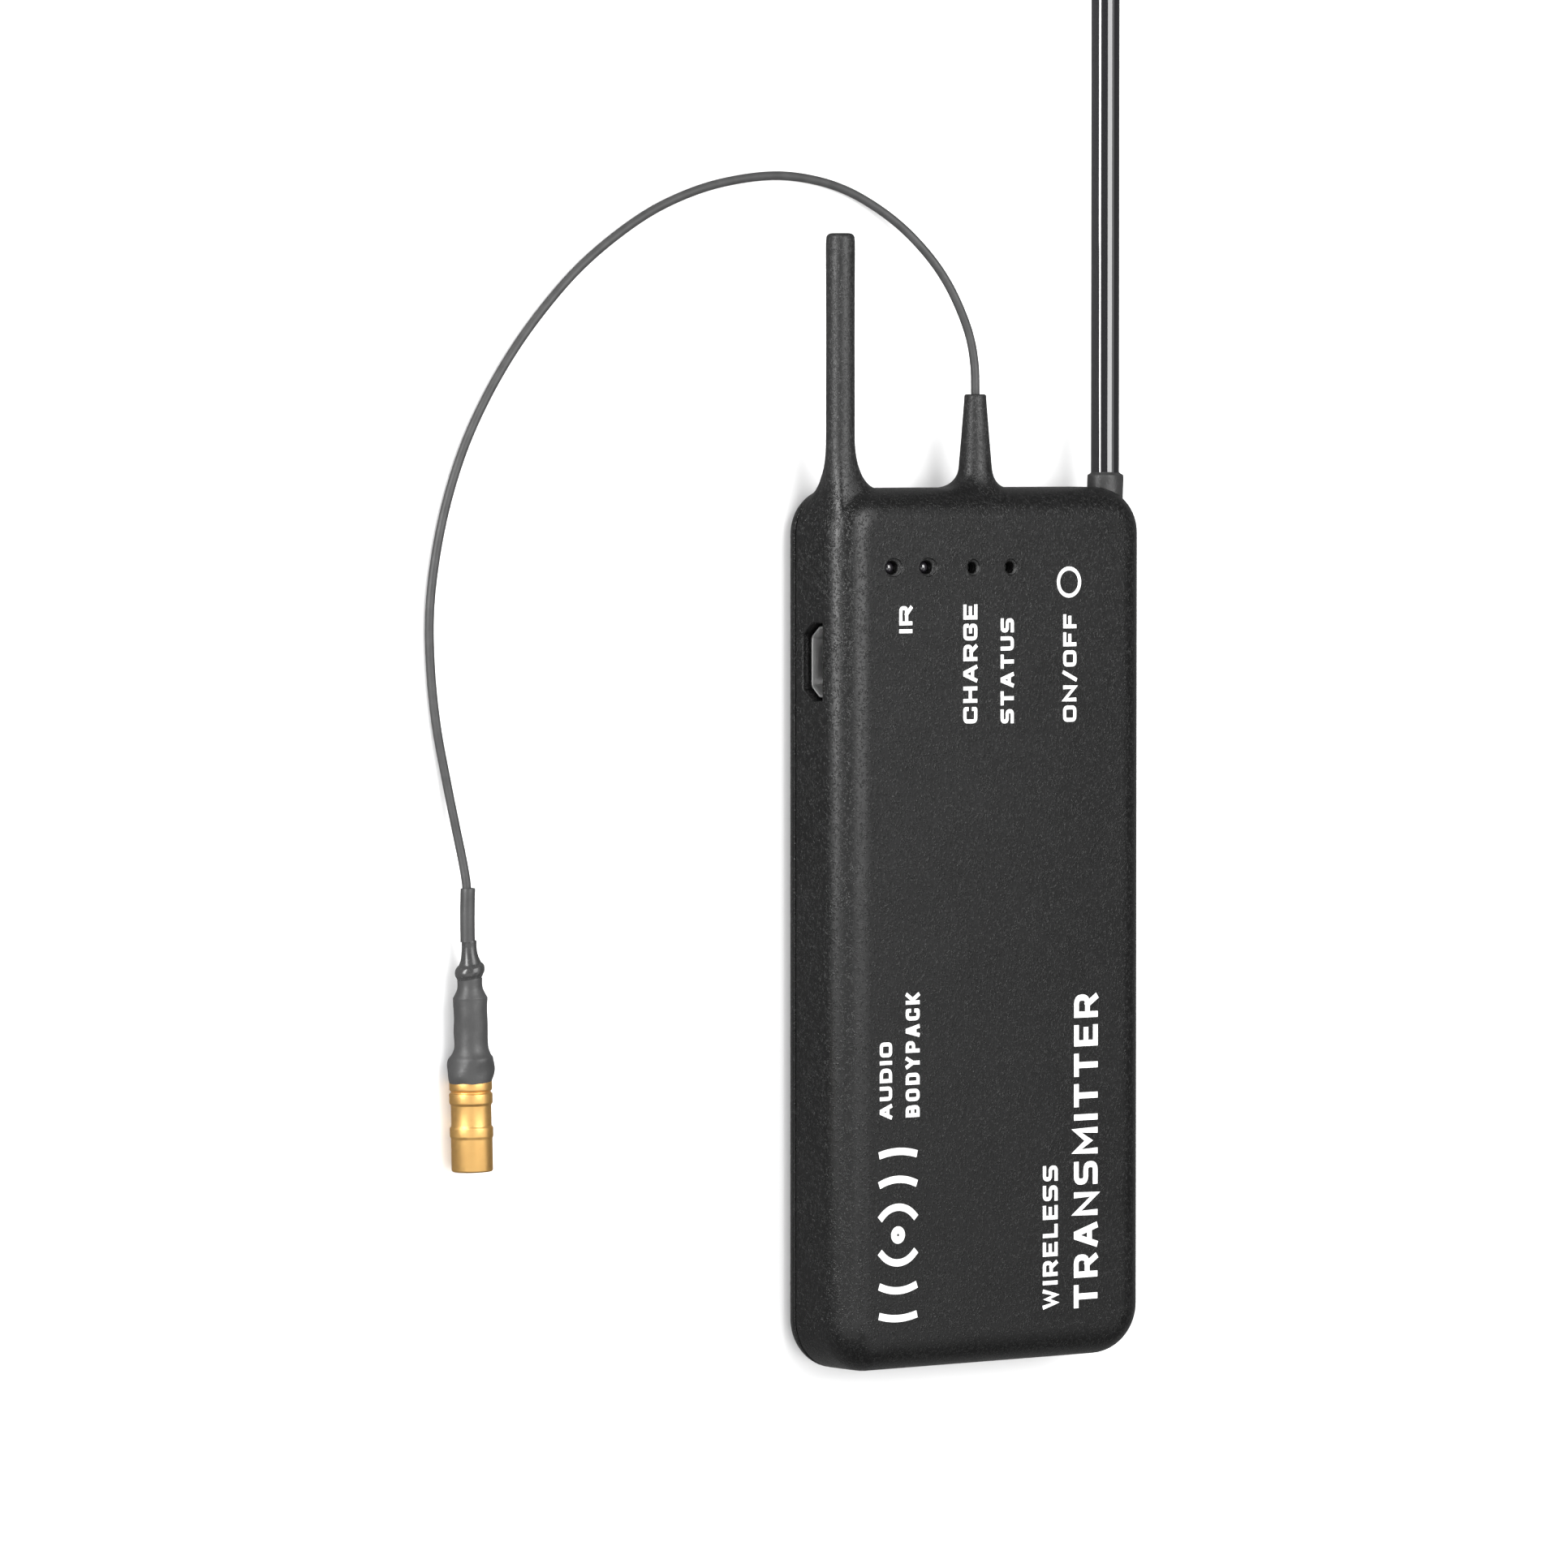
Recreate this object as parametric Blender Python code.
"""Wireless bodypack transmitter with a whip antenna, a stub antenna and a short coaxial lead.

The pack lies on its back. X runs across the case, +Y points to the antennas and +Z out of the
front face. The origin is the centre of the flat rear face. Sizes and places are in millimetres
and turn into metres when a mesh is made.
"""
import math

import bmesh
import bpy
from mathutils import Vector

MM = 0.001
UP = Vector((0, 0, 1))
GAP = 0.3                     # clearance between pieces that touch or nest

# Case
CASE_WIDTH = 42.6
CASE_LENGTH = 95.0
CASE_DEPTH = 10.8
CORNER_TOP = 5.0              # plan radius of the two corners beside the antennas
CORNER_BOTTOM = 5.5
FRONT_EDGE = 3.6              # radius that rolls the sides into the front face
REAR_EDGE = 2.4
WALL = 1.3
TOP_WALL = 3.5                # thick end wall that anchors the antennas and the lead
SEAM_Z = 2.4                  # height of the parting line above the rear face
CORNER_STEPS = 6
EDGE_STEPS = 5

# Rear cover's rim, channel and lip
RIM_WIDTH = 0.35
LIP_WIDTH = 0.9
LIP_TOP = 3.6
SEAL_INSET = 0.65
SEAL_WIDTH = 0.35
SEAL_LOW = WALL + GAP
SEAL_HIGH = 2.2

# Antennas and lead: all three leave the top on one line
AXIS_Z = 6.6
STUB_X = -18.4
LEAD_X = 0.1
WHIP_X = 18.3
TOP_Y = CASE_LENGTH / 2
ANCHOR_Y = TOP_Y - TOP_WALL   # inner face of the thick end wall
STUB_TIP_Y = 74.8
BOOT_TIP_Y = 57.6
COLLAR_TIP_Y = 49.0
COLLAR_SEAT_Y = 45.4
WHIP_TIP_Y = 162.6            # a quarter wave at about 550 MHz, with the length inside the case
WHIP_RADIUS = 1.5
WHIP_BORE = 0.8
COLLAR_RADIUS = 1.95
STUB_RADIUS = 1.55
FEED_END_Y = 42.8             # where the antenna conductors stop above their clips
END_HOLES = (("stub_hole", STUB_X, 1.4), ("lead_hole", LEAD_X, 1.8), ("whip_hole", WHIP_X, 1.7))

# Openings in the front face
FRONT_INNER = CASE_DEPTH - WALL
IR_PLACES = ((-14.7, 39.0), (-10.0, 39.0))
LIGHT_PLACES = ((-3.8, 38.9), (1.4, 38.9))
BUTTON_PLACE = (9.8, 37.2)
IR_HOLE = 1.0
LIGHT_HOLE = 0.75
BUTTON_HOLE = 1.6
BUTTON_RADIUS = BUTTON_HOLE - GAP
BUTTON_TRAVEL = 0.25

# Charging socket on the left side, centred at SOCKET_Y and mid-depth
SOCKET_Y = 28.9
SOCKET_MOUTH_X = -20.4
SOCKET_BACK_X = -15.6
POCKET_OUTLINE = ((4.05, 7.1), (4.05, 5.1), (2.9, 3.75))
POCKET_SPAN = (-22.5, -19.0)  # from outside the case to the hollow behind the socket's mouth
SHELL_OUTLINE = ((3.75, 6.7), (3.75, 5.55), (2.65, 4.2))
SHELL_BORE = ((3.45, 6.4), (3.45, 5.65), (2.5, 4.5))

# Board, battery and chassis
BOARD_LOW = 7.0
BOARD_HIGH = 7.8
BOARD_BOTTOM_Y = 3.0
BOARD_TOP_Y = 42.5
BOARD_HALF = 18.6
ABOVE_BOARD = BOARD_HIGH + GAP
BELOW_BOARD = BOARD_LOW - GAP
CHASSIS_LOW = WALL + GAP
CHASSIS_HIGH = CHASSIS_LOW + 0.8
SCREW_PLACES = ((-16.0, 6.2), (16.0, 6.2), (-16.0, 35.4), (16.0, 35.4))
SCREW_RADIUS = 0.5
SCREW_HOLE = SCREW_RADIUS + GAP
SCREW_LOW = 3.6               # height of the screws' points
POST_RADIUS = 1.6
CAN_LOW = 3.7                 # outer face of the shield cans
CAN_SHEET = 0.3
RF_CAN = ((2.5, 15.0), (14.0, 33.0))
AUDIO_CAN = ((-13.0, 10.0), (-1.0, 23.0))
BATTERY_LOW = (-17.0, -43.0, CHASSIS_HIGH + GAP)
BATTERY_HIGH = (17.0, -2.2, 8.0)

# Lead outside the case: it drops to the surface and curls back beside the pack
LEAD_RADIUS = 0.475
LEAD_ROUTE = (
    (0.1, 57.9, 6.6), (0.2, 60.7, 6.35), (0.2, 63.6, 5.6), (-0.2, 66.4, 4.6), (-1.2, 69.5, 3.5),
    (-2.9, 72.4, 2.5), (-5.6, 75.3, 1.6), (-8.8, 77.6, 0.95), (-12.8, 79.5, 0.6), (-17.2, 80.6, 0.5),
    (-22.2, 81.0, 0.5), (-27.6, 80.5, 0.5), (-33.0, 79.3, 0.5), (-38.6, 77.2, 0.5), (-43.8, 74.3, 0.5),
    (-48.7, 70.8, 0.5), (-53.1, 66.7, 0.5), (-57.1, 62.2, 0.5), (-60.6, 57.3, 0.5), (-63.5, 52.1, 0.5),
    (-65.7, 46.5, 0.5), (-67.2, 40.7, 0.5), (-68.0, 34.8, 0.5), (-67.9, 28.8, 0.5), (-67.2, 22.8, 0.55),
    (-66.1, 17.0, 0.8), (-65.3, 12.0, 1.4), (-64.9, 8.7, 2.0), (-64.7, 6.1, 2.42),
)
LEAD_POINTS = 72
PLUG_START = (-64.68, 5.8, 2.42)
PLUG_END = (-63.99, -23.9, 2.42)


# ---------------------------------------------------------------- helpers

def clear_scene():
    for item in list(bpy.data.objects):
        bpy.data.objects.remove(item, do_unlink=True)


def material(name, colour, roughness, metallic=0.0):
    made = bpy.data.materials.new(name)
    made.use_nodes = True
    shader = made.node_tree.nodes["Principled BSDF"]
    shader.inputs["Base Color"].default_value = (*colour, 1.0)
    shader.inputs["Roughness"].default_value = roughness
    shader.inputs["Metallic"].default_value = metallic
    made.diffuse_color = (*colour, 1.0)
    return made


def add_object(name, data, place=(0, 0, 0), direction=(0, 0, 1), parent=None):
    """Link an object at a place, with its own Z turned to direction."""
    item = bpy.data.objects.new(name, data)
    bpy.context.collection.objects.link(item)
    item.location = Vector(place) * MM
    item.rotation_euler = UP.rotation_difference(Vector(direction)).to_euler()
    item.parent = parent
    return item


def finish_mesh(name, build, finish, **placing):
    """Turn a bmesh in millimetres into a closed object with its faces outward."""
    bmesh.ops.scale(build, vec=(MM, MM, MM), verts=build.verts)
    bmesh.ops.recalc_face_normals(build, faces=build.faces)
    mesh = bpy.data.meshes.new(name)
    build.to_mesh(mesh)
    build.free()
    mesh.materials.append(finish)
    mesh.shade_smooth()
    mesh.set_sharp_from_angle(angle=math.radians(35))
    return add_object(name, mesh, **placing)


def bridge(build, first, second):
    """Join two loops of vertices, either of which may be a single pole."""
    count = max(len(first), len(second))
    for step in range(count):
        after = (step + 1) % count
        if len(first) == 1:
            build.faces.new((first[0], second[after], second[step]))
        elif len(second) == 1:
            build.faces.new((first[step], first[after], second[0]))
        else:
            build.faces.new((first[step], first[after], second[after], second[step]))


def lofted(name, loops, finish, ring=False, **placing):
    """Closed body through loops of equal length: capped at both ends, or joined into a ring."""
    build = bmesh.new()
    made = [[build.verts.new(point) for point in loop] for loop in loops]
    for first, second in zip(made, made[1:]):
        bridge(build, first, second)
    if ring:
        bridge(build, made[-1], made[0])
    else:
        for loop in (made[0], made[-1]):
            if len(loop) > 1:
                build.faces.new(loop)
    return finish_mesh(name, build, finish, **placing)


def turned(name, profile, finish, segments=16, ring=False, **placing):
    """Body turned about its own Z through (height, radius) pairs; a radius of 0 is a pole."""
    loops = []
    for height, radius in profile:
        if radius == 0:
            loops.append([(0, 0, height)])
            continue
        turn = math.tau / segments
        loops.append([
            (radius * math.cos(turn * step), radius * math.sin(turn * step), height)
            for step in range(segments)
        ])
    return lofted(name, loops, finish, ring=ring, **placing)


def block(name, low, high, finish, bevel=0.0, bevel_steps=2):
    """Rectangular body between two corners, with an optional rounded edge."""
    centre = [(a + b) / 2 for a, b in zip(low, high)]
    build = bmesh.new()
    bmesh.ops.create_cube(build, size=1.0)
    bmesh.ops.scale(build, vec=[b - a for a, b in zip(low, high)], verts=build.verts)
    item = finish_mesh(name, build, finish, place=centre)
    if bevel:
        edge = item.modifiers.new("rounded edges", "BEVEL")
        edge.width = bevel * MM
        edge.segments = bevel_steps
    return item


def combine(item, other, operation):
    """Cut or join another closed body with an exact Boolean, and hide that body."""
    step = item.modifiers.new(other.name, "BOOLEAN")
    step.operation = operation
    step.solver = "EXACT"
    step.object = other
    other.hide_render = True
    other.display_type = "WIRE"


def drill(item, name, place, radius, length, direction=(0, 0, 1), segments=20):
    """Cut a round hole that starts at place and runs along direction."""
    cutter = turned(name, ((0, 0), (0, radius), (length, radius), (length, 0)), CUTTER,
                    segments=segments, place=place, direction=direction)
    combine(item, cutter, "DIFFERENCE")


def rounded_loop(low, high, bottom_radius, top_radius, height):
    """Counter-clockwise plan loop of a rectangle with round corners, at one height."""
    corners = (
        (high[0], low[1], bottom_radius, -90),
        (high[0], high[1], top_radius, 0),
        (low[0], high[1], top_radius, 90),
        (low[0], low[1], bottom_radius, 180),
    )
    points = []
    for x, y, radius, start in corners:
        centre_x = x - math.copysign(radius, x)
        centre_y = y - radius if y == high[1] else y + radius
        for step in range(CORNER_STEPS + 1):
            angle = math.radians(start + 90 * step / CORNER_STEPS)
            points.append((centre_x + radius * math.cos(angle), centre_y + radius * math.sin(angle), height))
    return points


def case_loop(inset, height):
    """Outline of the case moved in by inset."""
    half = CASE_WIDTH / 2 - inset
    end = CASE_LENGTH / 2 - inset
    return rounded_loop((-half, -end), (half, end), CORNER_BOTTOM - inset, CORNER_TOP - inset, height)


def cavity_loop(inset, height):
    """Outline of the hollow inside the front skin moved in by inset."""
    half = CASE_WIDTH / 2 - WALL - inset
    low = -CASE_LENGTH / 2 + WALL + inset
    high = ANCHOR_Y - inset
    bottom_radius = CORNER_BOTTOM - WALL - inset
    top_radius = CORNER_TOP - WALL - inset
    return rounded_loop((-half, low), (half, high), bottom_radius, top_radius, height)


def quarter(radius, steps):
    """(sine, cosine) offsets of a quarter turn, scaled by radius, from 0 to 90 degrees."""
    angles = [math.pi / 2 * step / steps for step in range(steps + 1)]
    return [(radius * math.sin(angle), radius * math.cos(angle)) for angle in angles]


def socket_loop(outline, x):
    """Six-sided socket outline, given by its +Y half, at one X."""
    near = [(x, SOCKET_Y + y, z) for y, z in outline]
    far = [(x, SOCKET_Y - y, z) for y, z in reversed(outline)]
    return near + far


def smooth_route(points, count):
    """Evenly spaced points on a Catmull-Rom curve through the route's points."""
    ends = [Vector(points[0]) * 2 - Vector(points[1]), Vector(points[-1]) * 2 - Vector(points[-2])]
    nodes = [ends[0], *[Vector(point) for point in points], ends[1]]
    dense = []
    for before, start, end, after in zip(nodes, nodes[1:], nodes[2:], nodes[3:]):
        for step in range(40):
            t = step / 40
            dense.append(0.5 * (
                2 * start + (end - before) * t
                + (2 * before - 5 * start + 4 * end - after) * t ** 2
                + (3 * start - before - 3 * end + after) * t ** 3
            ))
    dense.append(nodes[-2])
    lengths = [0.0]
    for start, end in zip(dense, dense[1:]):
        lengths.append(lengths[-1] + (end - start).length)
    route = []
    index = 0
    for step in range(count):
        wanted = lengths[-1] * step / (count - 1)
        while index < len(dense) - 2 and lengths[index + 1] < wanted:
            index += 1
        share = (wanted - lengths[index]) / (lengths[index + 1] - lengths[index])
        route.append(dense[index].lerp(dense[index + 1], share))
    return route


def tube(name, points, radius, finish):
    """Round tube with closed ends along a path of straight steps."""
    curve = bpy.data.curves.new(name, "CURVE")
    curve.dimensions = "3D"
    curve.bevel_depth = radius * MM
    curve.bevel_resolution = 2
    curve.use_fill_caps = True
    spline = curve.splines.new("POLY")
    spline.points.add(len(points) - 1)
    for target, point in zip(spline.points, points):
        target.co = (*(Vector(point) * MM), 1.0)
    curve.materials.append(finish)
    return add_object(name, curve)


# ---------------------------------------------------------------- case

def make_front_skin(rubber):
    """Rubber tub that is the front, the sides and the thick top wall."""
    seam = SEAM_Z + GAP / 2
    outer_top = CASE_DEPTH - FRONT_EDGE
    inner_edge = FRONT_EDGE - WALL
    inner_top = FRONT_INNER - inner_edge
    loops = [case_loop(FRONT_EDGE - across, outer_top + up)
             for up, across in reversed(quarter(FRONT_EDGE, EDGE_STEPS))]
    loops.append(case_loop(0, seam))
    loops.append(cavity_loop(0, seam))
    loops.extend(cavity_loop(inner_edge - across, inner_top + up)
                 for up, across in quarter(inner_edge, EDGE_STEPS))
    skin = lofted("front_skin", loops, rubber)

    face_holes = [(place, IR_HOLE, "ir_hole") for place in IR_PLACES]
    face_holes += [(place, LIGHT_HOLE, "light_hole") for place in LIGHT_PLACES]
    face_holes.append((BUTTON_PLACE, BUTTON_HOLE, "button_hole"))
    for (x, y), radius, name in face_holes:
        drill(skin, name, (x, y, FRONT_INNER - 1), radius, WALL + 2)

    inward = (0, -1, 0)
    through = TOP_WALL + 2
    for name, x, radius in END_HOLES:
        drill(skin, name, (x, TOP_Y + 1, AXIS_Z), radius, through, inward)
    seat_depth = TOP_Y + 1 - COLLAR_SEAT_Y
    drill(skin, "collar_seat", (WHIP_X, TOP_Y + 1, AXIS_Z), COLLAR_RADIUS + GAP, seat_depth, inward)

    pocket = lofted("socket_pocket", [socket_loop(POCKET_OUTLINE, x) for x in POCKET_SPAN], CUTTER)
    combine(skin, pocket, "DIFFERENCE")


def make_rear_cover(rubber):
    """Shallow rear cover with a rim outside, a seal channel and a lip that locates it."""
    loops = []
    for inward, down in quarter(REAR_EDGE, EDGE_STEPS):
        height = REAR_EDGE - down
        if height < SEAM_Z - GAP / 2:
            loops.append(case_loop(REAR_EDGE - inward, height))
    rim_top = SEAM_Z - GAP / 2
    loops.append(case_loop(0, rim_top))
    loops.append(case_loop(RIM_WIDTH, rim_top))
    loops.append(case_loop(RIM_WIDTH, WALL))
    loops.append(cavity_loop(GAP, WALL))
    loops.append(cavity_loop(GAP, LIP_TOP))
    loops.append(cavity_loop(GAP + LIP_WIDTH, LIP_TOP))
    loops.append(cavity_loop(GAP + LIP_WIDTH, WALL))
    lofted("rear_cover", loops, rubber)


def make_seam_seal(silicone):
    section = ((SEAL_INSET, SEAL_LOW), (SEAL_INSET, SEAL_HIGH),
               (SEAL_INSET + SEAL_WIDTH, SEAL_HIGH), (SEAL_INSET + SEAL_WIDTH, SEAL_LOW))
    lofted("seam_seal", [case_loop(inset, height) for inset, height in section], silicone, ring=True)


# ---------------------------------------------------------------- antennas

def along_y(x, y):
    """Placing of a turned piece whose axis runs up the pack from y."""
    return {"place": (x, y, AXIS_Z), "direction": (0, 1, 0)}


def make_stub_antenna(rubber, metal):
    base = ANCHOR_Y + 0.6
    root = TOP_Y + GAP - base
    tip = STUB_TIP_Y - base
    bore_end = tip - 2.8
    profile = (
        (bore_end, 0), (bore_end, 0.7), (0, 0.7), (0, 1.1), (root, 1.1), (root, 2.5), (root + 0.5, 2.2),
        (root + 1.6, 1.85), (root + 3.8, STUB_RADIUS), (tip - 0.7, STUB_RADIUS), (tip - 0.2, 1.35),
        (tip, 0.9), (tip, 0),
    )
    turned("stub_antenna_sleeve", profile, rubber, **along_y(STUB_X, base))
    rod_end = base + bore_end - GAP - FEED_END_Y
    turned("stub_antenna_rod", ((0, 0), (0, 0.4), (rod_end, 0.4), (rod_end, 0)), metal, segments=10,
           **along_y(STUB_X, FEED_END_Y))


def make_whip_antenna(rubber, gloss, metal):
    base = ANCHOR_Y - 0.1
    seat = COLLAR_SEAT_Y + GAP - base
    tip = COLLAR_TIP_Y - base
    collar = ((0, WHIP_BORE), (0, 1.4), (seat, 1.4), (seat, COLLAR_RADIUS), (tip - 0.3, COLLAR_RADIUS),
              (tip, COLLAR_RADIUS - 0.2), (tip, WHIP_BORE))
    turned("antenna_collar", collar, rubber, ring=True, **along_y(WHIP_X, base))

    jacket_start = COLLAR_TIP_Y + GAP
    cap_height = 1.6
    jacket = WHIP_TIP_Y - cap_height - GAP - jacket_start
    turned("whip_jacket", ((0, WHIP_BORE), (0, WHIP_RADIUS), (jacket, WHIP_RADIUS), (jacket, WHIP_BORE)),
           gloss, ring=True, **along_y(WHIP_X, jacket_start))

    straight = cap_height - WHIP_RADIUS
    dome = [(straight + up, across) for up, across in quarter(WHIP_RADIUS, 4)[:-1]]
    cap = [(0, 0), (0, WHIP_RADIUS), *dome, (cap_height, 0)]
    turned("whip_tip_cap", cap, gloss, **along_y(WHIP_X, WHIP_TIP_Y - cap_height))

    core = WHIP_TIP_Y - cap_height - 2 * GAP - FEED_END_Y
    turned("whip_core_wire", ((0, 0), (0, 0.45), (core, 0.45), (core, 0)), metal, segments=10,
           **along_y(WHIP_X, FEED_END_Y))


def make_feed_clips(metal):
    """Spring clips on the board's rear side that pick up the two antenna conductors."""
    for name, x in (("stub_feed_clip", STUB_X + 0.1), ("whip_feed_clip", WHIP_X)):
        clip = block(name, (x - 0.8, 39.9, 5.2), (x + 0.8, FEED_END_Y - GAP, BELOW_BOARD), metal)
        slot = block(name + "_slot", (x - 0.4, 39.0, 4.6), (x + 0.4, 43.5, 6.3), CUTTER)
        combine(clip, slot, "DIFFERENCE")


# ---------------------------------------------------------------- lead and connector

def make_boot(rubber):
    """Tapered strain relief with a flared root and a spigot through the end wall."""
    base = ANCHOR_Y + 0.6
    root = TOP_Y + GAP - base
    tip = BOOT_TIP_Y - base
    bore = LEAD_RADIUS + GAP
    profile = ((0, bore), (0, 1.5), (root, 1.5), (root, 3.2), (root + 0.4, 2.5), (root + 1.1, 2.05),
               (root + 1.8, 1.85), (tip - 0.3, 1.2), (tip, 1.0), (tip, bore))
    turned("cable_boot", profile, rubber, ring=True, **along_y(LEAD_X, base))


def make_inner_lead(jacket, metal, plastic):
    """End of the lead inside the case: through the boot and a ferrule to its socket."""
    route = ((LEAD_X, BOOT_TIP_Y - 0.05, AXIS_Z), (LEAD_X, 50.0, AXIS_Z), (LEAD_X, 44.4, AXIS_Z),
             (LEAD_X, 43.0, AXIS_Z), (LEAD_X, 42.0, 6.4), (LEAD_X, 41.2, 6.0), (LEAD_X, 40.6, 5.75),
             (LEAD_X, 39.9, 5.65))
    tube("lead_inner_end", route, LEAD_RADIUS, jacket)
    bore = LEAD_RADIUS + GAP
    turned("lead_ferrule", ((0, bore), (0, 1.3), (0.9, 1.3), (0.9, bore)), metal, ring=True,
           **along_y(LEAD_X, 43.3))
    block("lead_socket", (LEAD_X - 1.7, 36.0, 4.6), (LEAD_X + 1.7, 39.6, BELOW_BOARD), plastic, bevel=0.2)


def make_outer_lead(jacket):
    tube("lead_cord", smooth_route(LEAD_ROUTE, LEAD_POINTS), LEAD_RADIUS, jacket)


def make_plug(shrink, glue, gold, white):
    """Sleeves and coaxial connector, in line along the plug's own axis."""
    start = Vector(PLUG_START)
    axis = Vector(PLUG_END) - start
    length = axis.length
    holder = bpy.data.objects.new("plug_axis", None)
    bpy.context.collection.objects.link(holder)
    holder.location = start * MM
    holder.rotation_euler = UP.rotation_difference(axis).to_euler()

    turned("lead_thin_sleeve", ((0, 0), (0, 0.77), (5.6, 0.77), (5.6, 0)), shrink, segments=14, parent=holder)
    bead = ((5.9, 0), (5.9, 0.78), (6.8, 0.82), (7.9, 1.2), (8.2, 1.4), (8.6, 1.44), (9.0, 1.4), (9.35, 1.28),
            (9.35, 0))
    turned("lead_glue_bead", bead, glue, parent=holder)
    sleeve = ((9.65, 0), (9.65, 1.28), (11.2, 1.28), (11.8, 1.79), (17.3, 1.79), (18.0, 2.3), (18.5, 2.38),
              (19.9, 2.38), (20.3, 2.3), (20.3, 0))
    turned("lead_wide_sleeve", sleeve, shrink, parent=holder)

    bore = 1.62
    body = (
        (20.6, 0.9), (20.6, 2.3), (21.35, 2.3), (21.5, 2.12), (21.65, 2.32), (22.85, 2.32), (23.0, 2.17),
        (25.05, 2.17), (25.2, 2.3), (26.15, 2.3), (26.3, 2.21), (length - 0.12, 2.21), (length, 2.1),
        (length, bore), (25.5, bore), (25.5, 0.9),
    )
    turned("plug_body", body, gold, segments=20, ring=True, parent=holder)
    insulator = ((25.8, 0.75), (25.8, bore - GAP), (27.8, bore - GAP), (27.8, 0.75))
    turned("plug_insulator", insulator, white, ring=True, parent=holder)
    turned("plug_contact", ((21.5, 0), (21.5, 0.4), (28.4, 0.4), (28.8, 0.25), (28.8, 0)), gold, segments=10,
           parent=holder)


# ---------------------------------------------------------------- button, lights and infrared

def make_button(rubber, plastic, metal):
    """Skin pad and the switch under it; the pad and the plunger travel along -Z."""
    x, y = BUTTON_PLACE
    stem_low = 9.55
    pad = ((stem_low, 0), (stem_low, 0.7), (9.9, 0.7), (9.9, BUTTON_RADIUS), (CASE_DEPTH, BUTTON_RADIUS),
           (CASE_DEPTH, 0))
    turned("power_button", [(z - CASE_DEPTH, radius) for z, radius in pad], rubber, segments=20,
           place=(x, y, CASE_DEPTH))
    well_floor = 8.25
    plunger_low = well_floor + BUTTON_TRAVEL + 0.15
    plunger_high = stem_low - GAP - plunger_low
    turned("switch_plunger", ((0, 0), (0, 0.65), (plunger_high, 0.65), (plunger_high, 0)), plastic,
           segments=12, place=(x, y, plunger_low))
    body = block("switch_body", (x - 1.8, y - 1.5, ABOVE_BOARD), (x + 1.8, y + 1.5, 8.8), metal)
    drill(body, "switch_well", (x, y, well_floor), 0.95, 2, segments=16)


def make_face_optics(dark, clear, package):
    """Infrared parts and lights: a chip on the board and a window or light pipe above each."""
    for name, (x, y) in zip(("emitter", "receiver"), IR_PLACES):
        block("ir_" + name, (x - 0.8, y - 0.8, ABOVE_BOARD), (x + 0.8, y + 0.8, 8.7), package, bevel=0.1)
        window = ((0, 0), (0, 1.25), (0.2, 1.25), (0.2, 0.7), (1.1, 0.7), (1.35, 0.5), (1.45, 0))
        turned("ir_window_" + name, window, dark, place=(x, y, 9.0))
    for name, (x, y) in zip(("charge", "status"), LIGHT_PLACES):
        block(name + "_led", (x - 0.8, y - 0.4, ABOVE_BOARD), (x + 0.8, y + 0.4, 8.6), package, bevel=0.1)
        pipe = ((0, 0), (0, 0.9), (0.25, 0.9), (0.25, 0.45), (1.3, 0.45), (1.3, 0))
        turned(name + "_light_pipe", pipe, clear, segments=12, place=(x, y, 8.95))


def make_charging_socket(steel, plastic):
    """Metal shell of the socket with its tongue; the narrow side faces the rear."""
    loops = [socket_loop(outline, x) for outline, x in (
        (SHELL_OUTLINE, SOCKET_MOUTH_X), (SHELL_OUTLINE, SOCKET_BACK_X),
        (SHELL_BORE, SOCKET_BACK_X), (SHELL_BORE, SOCKET_MOUTH_X))]
    lofted("usb_shell", loops, steel, ring=True)
    tongue = block("usb_tongue", (SOCKET_BACK_X - 1.4, SOCKET_Y - 2.8, 5.3),
                   (SOCKET_BACK_X - 0.1, SOCKET_Y + 2.8, 6.1), plastic)
    blade = block("usb_tongue_blade", (SOCKET_MOUTH_X + 0.6, SOCKET_Y - 1.8, 5.5),
                  (SOCKET_BACK_X - 1.0, SOCKET_Y + 1.8, 6.0), plastic)
    combine(tongue, blade, "UNION")


# ---------------------------------------------------------------- inside the case

def make_chassis(plastic, metal):
    """Tray behind the battery and the board, with rails, a rib and four screw posts."""
    frame = lofted("chassis_frame", [cavity_loop(1.5, CHASSIS_LOW), cavity_loop(1.5, CHASSIS_HIGH)], plastic)
    middle = (CHASSIS_LOW + CHASSIS_HIGH) / 2
    for side in (-1, 1):
        edges = sorted((side * 17.6, side * 18.4))
        rail = block("battery_rail", (edges[0], -40, middle), (edges[1], -3, 4.8), plastic)
        combine(frame, rail, "UNION")
    rib = block("cross_rib", (-8, -0.7, middle), (8, 0.3, 4.6), plastic)
    combine(frame, rib, "UNION")
    post_height = BELOW_BOARD - middle
    column = ((0, 0), (0, POST_RADIUS), (post_height, POST_RADIUS), (post_height, 0))
    for x, y in SCREW_PLACES:
        post = turned("screw_post", column, plastic, segments=12, place=(x, y, middle))
        combine(frame, post, "UNION")
    for x, y in SCREW_PLACES:
        drill(frame, "post_hole", (x, y, SCREW_LOW - 0.4), SCREW_HOLE, 5, segments=12)

    shaft = ABOVE_BOARD - SCREW_LOW
    screw = ((0, 0), (0, SCREW_RADIUS), (shaft, SCREW_RADIUS), (shaft, 1.2), (shaft + 0.4, 1.2),
             (shaft + 0.7, 0.8), (shaft + 0.7, 0))
    for number, (x, y) in enumerate(SCREW_PLACES, 1):
        turned(f"board_screw_{number}", screw, metal, segments=12, place=(x, y, SCREW_LOW))


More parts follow.
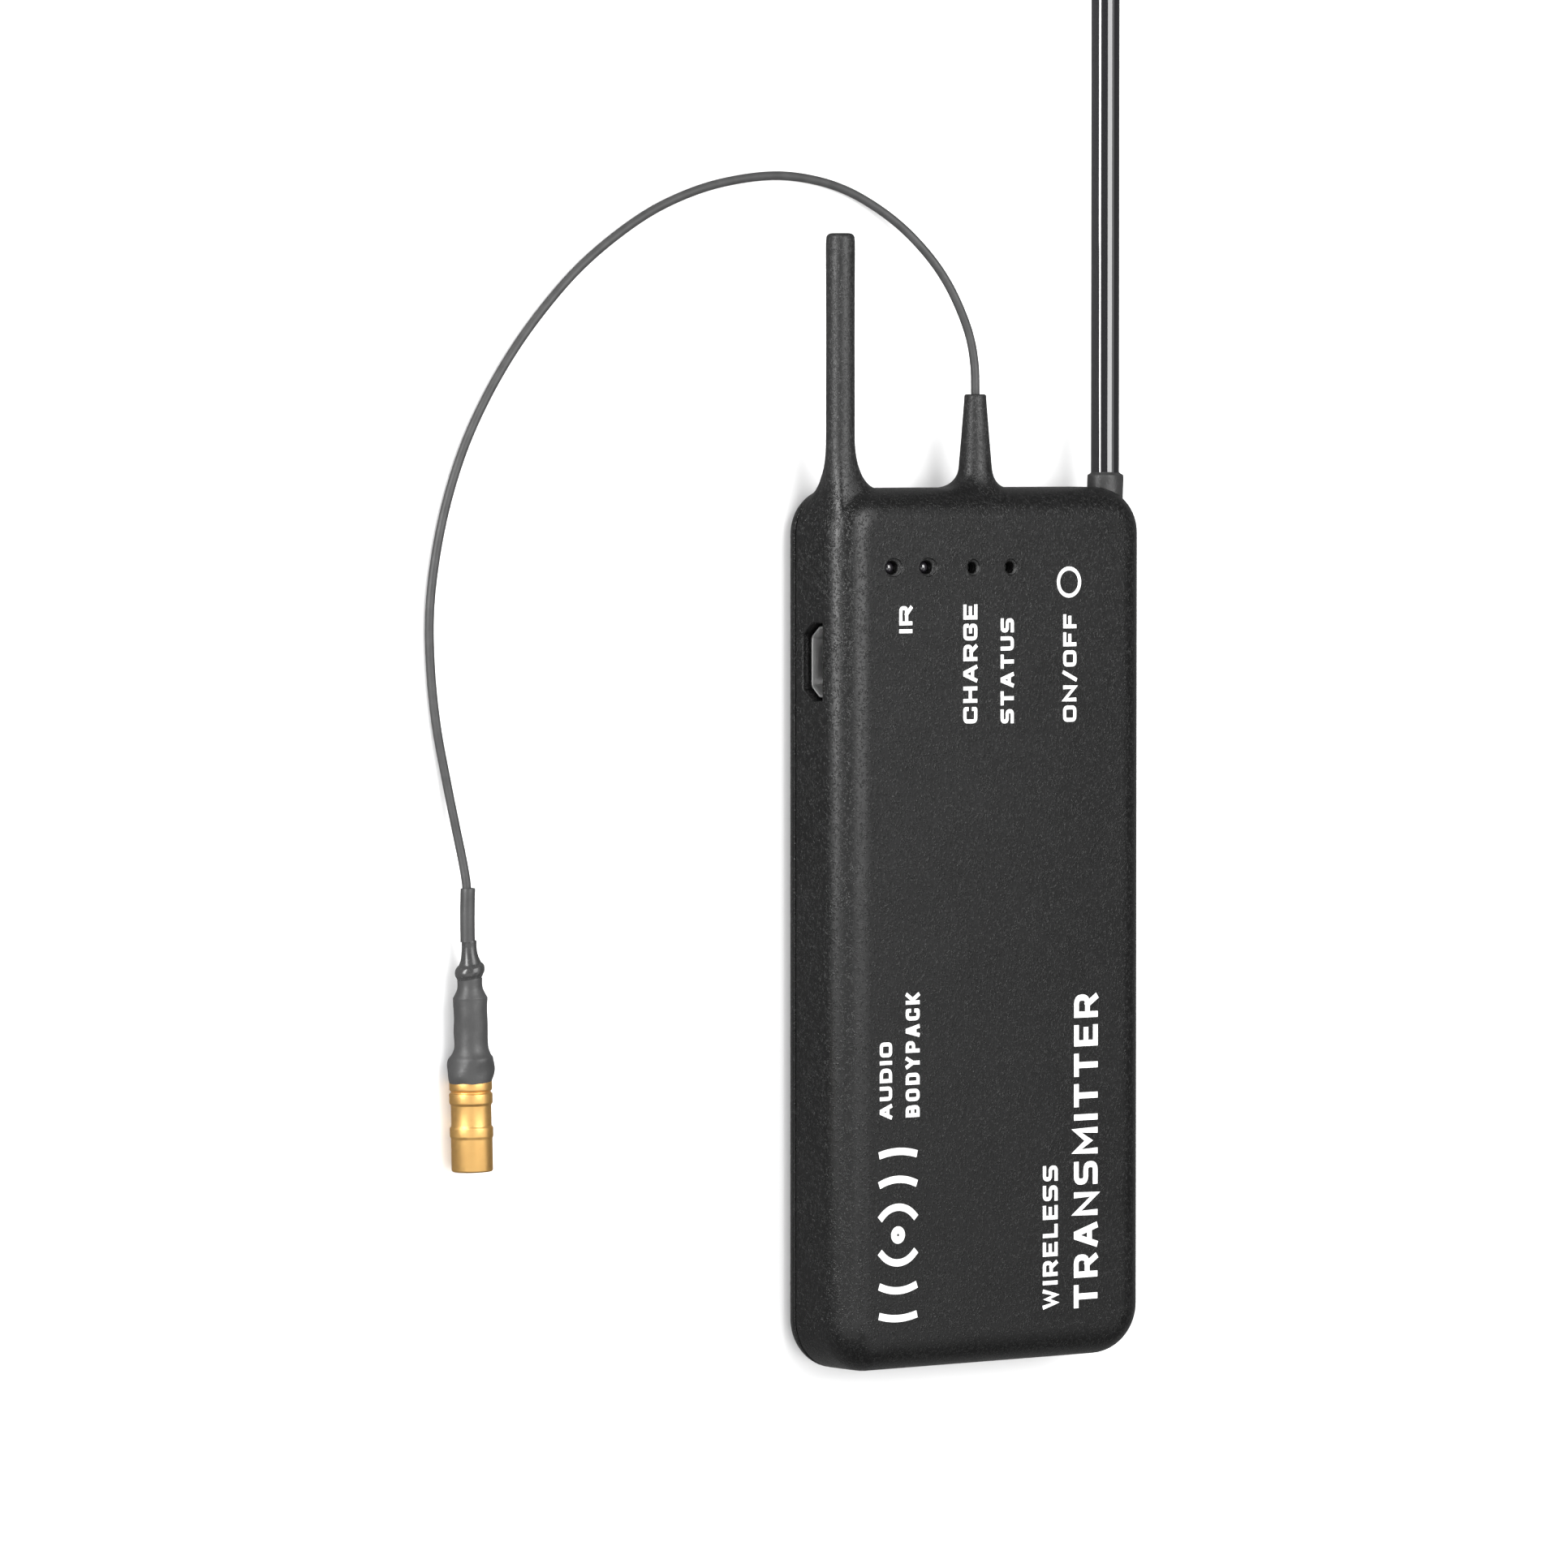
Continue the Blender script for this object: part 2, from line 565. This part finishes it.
def make_main_board(board_green):
    low = (-BOARD_HALF, BOARD_BOTTOM_Y)
    high = (BOARD_HALF, BOARD_TOP_Y)
    loops = [rounded_loop(low, high, 1.0, 2.6, height) for height in (BOARD_LOW, BOARD_HIGH)]
    board = lofted("main_board", loops, board_green)
    for x, y in SCREW_PLACES:
        drill(board, "board_hole", (x, y, BOARD_LOW - 1), SCREW_HOLE, 3, segments=12)
    notch = block("lead_notch", (LEAD_X - 1.7, 40.0, 6), (LEAD_X + 1.7, 44, 9), CUTTER)
    combine(board, notch, "DIFFERENCE")


def make_shield_can(name, low, high, tin):
    """Folded can soldered to the board's rear side, open towards the board; returns its centre."""
    can = block(name, (*low, CAN_LOW), (*high, BELOW_BOARD), tin)
    hollow = block(name + "_hollow", (low[0] + CAN_SHEET, low[1] + CAN_SHEET, CAN_LOW + CAN_SHEET),
                   (high[0] - CAN_SHEET, high[1] - CAN_SHEET, BELOW_BOARD + 1), CUTTER)
    combine(can, hollow, "DIFFERENCE")
    return [(a + b) / 2 for a, b in zip(low, high)]


def make_board_parts(tin, package, copper):
    x, y = make_shield_can("rf_shield_can", *RF_CAN, tin)
    block("rf_module_chip", (x - 3, y - 3, 5.7), (x + 3, y + 3, BELOW_BOARD), package)
    x, y = make_shield_can("audio_shield_can", *AUDIO_CAN, tin)
    block("audio_converter_chip", (x - 2.5, y - 2.5, 5.7), (x + 2.5, y + 2.5, BELOW_BOARD), package)
    block("processor_chip", (-3.5, 19.0, ABOVE_BOARD), (3.5, 26.0, 8.9), package)
    block("memory_chip", (-10.0, 20.0, ABOVE_BOARD), (-5.5, 25.0, 8.8), package)
    block("crystal_can", (5.5, 20.0, ABOVE_BOARD), (8.1, 22.0, 8.8), tin, bevel=0.15)
    block("charger_chip", (-7.5, 27.0, 5.9), (-4.5, 30.0, BELOW_BOARD), package)
    coil = ((4.7, 0), (4.7, 2.0), (5.2, 2.0), (5.4, 1.5), (6.0, 1.5), (6.2, 2.0), (BELOW_BOARD, 2.0),
            (BELOW_BOARD, 0))
    turned("power_coil", coil, copper, place=(-11.5, 29.0, 0))


def make_battery(pouch, foam, board_green, plastic, red, black):
    block("battery_cell", BATTERY_LOW, BATTERY_HIGH, pouch, bevel=1.2, bevel_steps=3)
    pad_low = BATTERY_HIGH[2] + GAP
    block("battery_foam_pad", (-15.0, -40.0, pad_low), (15.0, -5.0, FRONT_INNER - GAP), foam, bevel=0.2)
    block("battery_protection_board", (-8.0, -1.8, 5.0), (8.0, 1.4, 5.8), board_green)
    block("battery_header", (3.0, 9.0, 4.0), (9.0, 12.0, BELOW_BOARD), plastic, bevel=0.15)
    block("battery_plug", (3.5, 6.4, 4.3), (8.5, 8.7, 6.3), plastic, bevel=0.2)
    leads = (("battery_lead_red", 4.2, 5.0, red), ("battery_lead_black", 7.8, 7.0, black))
    for name, start, end, finish in leads:
        middle = (start + end) / 2
        route = ((start, 1.75, 5.4), (start, 2.5, 5.25), (middle, 3.5, 4.9), (end, 4.6, 4.95),
                 (end, 5.4, 5.2), (end, 6.05, 5.3))
        tube(name, route, 0.35, finish)


# ---------------------------------------------------------------- build

clear_scene()
CUTTER = material("cutter", (1.0, 0.2, 0.2), 0.5)
skin_rubber = material("skin_rubber", (0.028, 0.028, 0.028), 0.55)
boot_rubber = material("boot_rubber", (0.03, 0.03, 0.03), 0.55)
silicone = material("silicone", (0.3, 0.3, 0.3), 0.5)
whip_gloss = material("whip_gloss", (0.012, 0.012, 0.013), 0.12)
cord_jacket = material("cord_jacket", (0.08, 0.08, 0.08), 0.5)
shrink_sleeve = material("shrink_sleeve", (0.07, 0.07, 0.072), 0.45)
glue_gloss = material("glue_gloss", (0.03, 0.03, 0.03), 0.2)
gold_plate = material("gold_plate", (0.83, 0.52, 0.16), 0.28, 1.0)
white_insulator = material("white_insulator", (0.8, 0.8, 0.78), 0.5)
steel = material("steel", (0.5, 0.5, 0.5), 0.3, 1.0)
black_plastic = material("black_plastic", (0.02, 0.02, 0.02), 0.45)
grey_plastic = material("grey_plastic", (0.25, 0.26, 0.27), 0.5)
dark_window = material("dark_window", (0.01, 0.008, 0.012), 0.05)
clear_window = material("clear_window", (0.6, 0.6, 0.6), 0.1)
board_green = material("board_green", (0.02, 0.14, 0.06), 0.4)
tin_plate = material("tin_plate", (0.62, 0.62, 0.6), 0.35, 1.0)
copper_wire = material("copper_wire", (0.6, 0.25, 0.1), 0.35, 1.0)
battery_pouch = material("battery_pouch", (0.55, 0.56, 0.58), 0.35, 0.6)
foam_grey = material("foam_grey", (0.1, 0.1, 0.1), 0.9)
red_wire = material("red_wire", (0.5, 0.02, 0.02), 0.45)
black_wire = material("black_wire", (0.02, 0.02, 0.02), 0.45)

make_front_skin(skin_rubber)
make_rear_cover(skin_rubber)
make_seam_seal(silicone)
make_stub_antenna(skin_rubber, steel)
make_whip_antenna(boot_rubber, whip_gloss, steel)
make_feed_clips(tin_plate)
make_boot(boot_rubber)
make_inner_lead(cord_jacket, tin_plate, black_plastic)
make_outer_lead(cord_jacket)
make_plug(shrink_sleeve, glue_gloss, gold_plate, white_insulator)
make_button(skin_rubber, grey_plastic, steel)
make_face_optics(dark_window, clear_window, black_plastic)
make_charging_socket(steel, black_plastic)
make_chassis(grey_plastic, steel)
make_main_board(board_green)
make_board_parts(tin_plate, black_plastic, copper_wire)
make_battery(battery_pouch, foam_grey, board_green, white_insulator, red_wire, black_wire)
bpy.context.view_layer.update()
